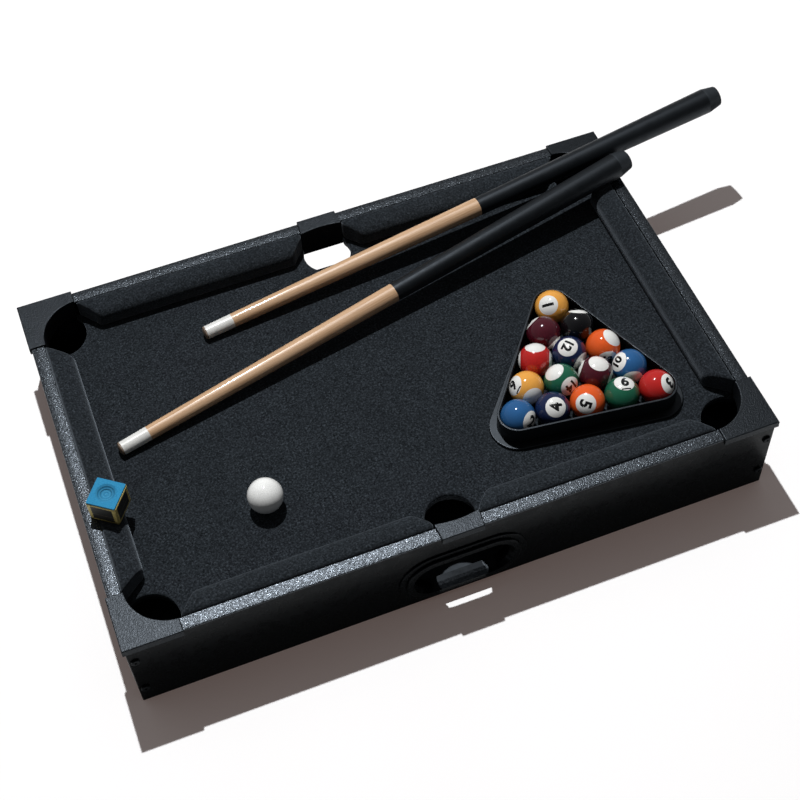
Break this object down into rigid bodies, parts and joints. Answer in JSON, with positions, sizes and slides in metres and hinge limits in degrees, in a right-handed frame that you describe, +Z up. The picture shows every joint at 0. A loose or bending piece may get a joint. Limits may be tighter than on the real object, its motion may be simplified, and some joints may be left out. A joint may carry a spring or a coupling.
{
  "type": "tabletop billiard game",
  "caption": "Small tabletop pocket billiard table with cushions, ball return slots, cues, numbered balls in a triangle rack, a cue ball and a chalk cube.",
  "frame": {"origin": "middle of the table's underside, on the surface that it stands on", "axes": "+X along the table's long side, +Y across it towards the back, +Z up"},
  "size_m": [0.6208, 0.3338, 0.111],
  "materials": {
    "panel_black": "satin black foil on fibreboard",
    "bare_board": "plain fibreboard",
    "inner_black": "matte black stained board",
    "screw_black": "black oxide",
    "cushion_cloth": "charcoal felt over a soft core",
    "field_cloth": "charcoal felt",
    "rail_vinyl": "grained grey vinyl",
    "cap_black": "fine moulded texture",
    "bezel_black": "satin moulded",
    "cue_leather": "pressed leather",
    "cue_ferrule": "satin white",
    "cue_wood": "clear satin lacquer",
    "cue_black": "satin black paint",
    "cue_rubber": "matte",
    "rack_black": "gloss moulded",
    "chalk_blue": "chalk in a paper wrapper",
    "ball_yellow": "polished",
    "ball_blue": "polished",
    "ball_red": "polished",
    "ball_purple": "polished",
    "ball_orange": "polished",
    "ball_green": "polished",
    "ball_maroon": "polished",
    "ball_black": "polished",
    "ball_white": "polished"
  },
  "bodies": {
    "table": {"front_panel": "panel_black", "back_panel": "panel_black", "left_panel": "panel_black", "right_panel": "panel_black", "panel_screws": "screw_black", "floor_board": "inner_black", "field_batten_left": "bare_board", "field_batten_right": "bare_board", "runway_left": "inner_black", "runway_right": "inner_black", "field_board": "inner_black", "field_cloth": "field_cloth", "cushion_front_left": "cushion_cloth", "cushion_front_right": "cushion_cloth", "cushion_back_left": "cushion_cloth", "cushion_back_right": "cushion_cloth", "cushion_left": "cushion_cloth", "cushion_right": "cushion_cloth", "rail_strip_front_left": "rail_vinyl", "rail_strip_front_right": "rail_vinyl", "rail_strip_back_left": "rail_vinyl", "rail_strip_back_right": "rail_vinyl", "rail_strip_left": "rail_vinyl", "rail_strip_right": "rail_vinyl", "corner_cap_front_left": "cap_black", "corner_cap_front_right": "cap_black", "corner_cap_back_left": "cap_black", "corner_cap_back_right": "cap_black", "side_plate_front": "cap_black", "side_plate_back": "cap_black", "return_bezel_front": "bezel_black", "return_bezel_back": "bezel_black"},
    "cue_a": {"cue_a_tip": "cue_leather", "cue_a_ferrule": "cue_ferrule", "cue_a_shaft": "cue_wood", "cue_a_butt": "cue_black", "cue_a_bumper": "cue_rubber"},
    "cue_b": {"cue_b_tip": "cue_leather", "cue_b_ferrule": "cue_ferrule", "cue_b_shaft": "cue_wood", "cue_b_butt": "cue_black", "cue_b_bumper": "cue_rubber"},
    "rack": {"ball_rack": "rack_black"},
    "ball_1": {"ball_1": "ball_yellow"},
    "ball_2": {"ball_2": "ball_blue"},
    "ball_3": {"ball_3": "ball_red"},
    "ball_4": {"ball_4": "ball_purple"},
    "ball_5": {"ball_5": "ball_orange"},
    "ball_6": {"ball_6": "ball_green"},
    "ball_7": {"ball_7": "ball_maroon"},
    "ball_8": {"ball_8": "ball_black"},
    "ball_9": {"ball_9": "ball_yellow"},
    "ball_10": {"ball_10": "ball_blue"},
    "ball_11": {"ball_11": "ball_red"},
    "ball_12": {"ball_12": "ball_purple"},
    "ball_13": {"ball_13": "ball_orange"},
    "ball_14": {"ball_14": "ball_green"},
    "ball_15": {"ball_15": "ball_maroon"},
    "cue_ball": {"cue_ball": "ball_white"},
    "chalk": {"chalk": "chalk_blue"}
  },
  "joints": [
    {"name": "lift_cue_a", "type": "slide", "parent": "table", "child": "cue_a", "axis": [0, 0, 1], "range_m": [0, 0.06]},
    {"name": "lift_cue_b", "type": "slide", "parent": "table", "child": "cue_b", "axis": [0, 0, 1], "range_m": [0, 0.06]},
    {"name": "lift_rack", "type": "slide", "parent": "table", "child": "rack", "axis": [0, 0, 1], "range_m": [0, 0.04]},
    {"name": "lift_ball_1", "type": "slide", "parent": "table", "child": "ball_1", "axis": [0, 0, 1], "range_m": [0, 0.05]},
    {"name": "lift_ball_2", "type": "slide", "parent": "table", "child": "ball_2", "axis": [0, 0, 1], "range_m": [0, 0.05]},
    {"name": "lift_ball_3", "type": "slide", "parent": "table", "child": "ball_3", "axis": [0, 0, 1], "range_m": [0, 0.05]},
    {"name": "lift_ball_4", "type": "slide", "parent": "table", "child": "ball_4", "axis": [0, 0, 1], "range_m": [0, 0.05]},
    {"name": "lift_ball_5", "type": "slide", "parent": "table", "child": "ball_5", "axis": [0, 0, 1], "range_m": [0, 0.05]},
    {"name": "lift_ball_6", "type": "slide", "parent": "table", "child": "ball_6", "axis": [0, 0, 1], "range_m": [0, 0.05]},
    {"name": "lift_ball_7", "type": "slide", "parent": "table", "child": "ball_7", "axis": [0, 0, 1], "range_m": [0, 0.05]},
    {"name": "lift_ball_8", "type": "slide", "parent": "table", "child": "ball_8", "axis": [0, 0, 1], "range_m": [0, 0.05]},
    {"name": "lift_ball_9", "type": "slide", "parent": "table", "child": "ball_9", "axis": [0, 0, 1], "range_m": [0, 0.05]},
    {"name": "lift_ball_10", "type": "slide", "parent": "table", "child": "ball_10", "axis": [0, 0, 1], "range_m": [0, 0.05]},
    {"name": "lift_ball_11", "type": "slide", "parent": "table", "child": "ball_11", "axis": [0, 0, 1], "range_m": [0, 0.05]},
    {"name": "lift_ball_12", "type": "slide", "parent": "table", "child": "ball_12", "axis": [0, 0, 1], "range_m": [0, 0.05]},
    {"name": "lift_ball_13", "type": "slide", "parent": "table", "child": "ball_13", "axis": [0, 0, 1], "range_m": [0, 0.05]},
    {"name": "lift_ball_14", "type": "slide", "parent": "table", "child": "ball_14", "axis": [0, 0, 1], "range_m": [0, 0.05]},
    {"name": "lift_ball_15", "type": "slide", "parent": "table", "child": "ball_15", "axis": [0, 0, 1], "range_m": [0, 0.05]},
    {"name": "lift_cue_ball", "type": "slide", "parent": "table", "child": "cue_ball", "axis": [0, 0, 1], "range_m": [0, 0.05]},
    {"name": "lift_chalk", "type": "slide", "parent": "table", "child": "chalk", "axis": [0, 0, 1], "range_m": [0, 0.04]}
  ]
}
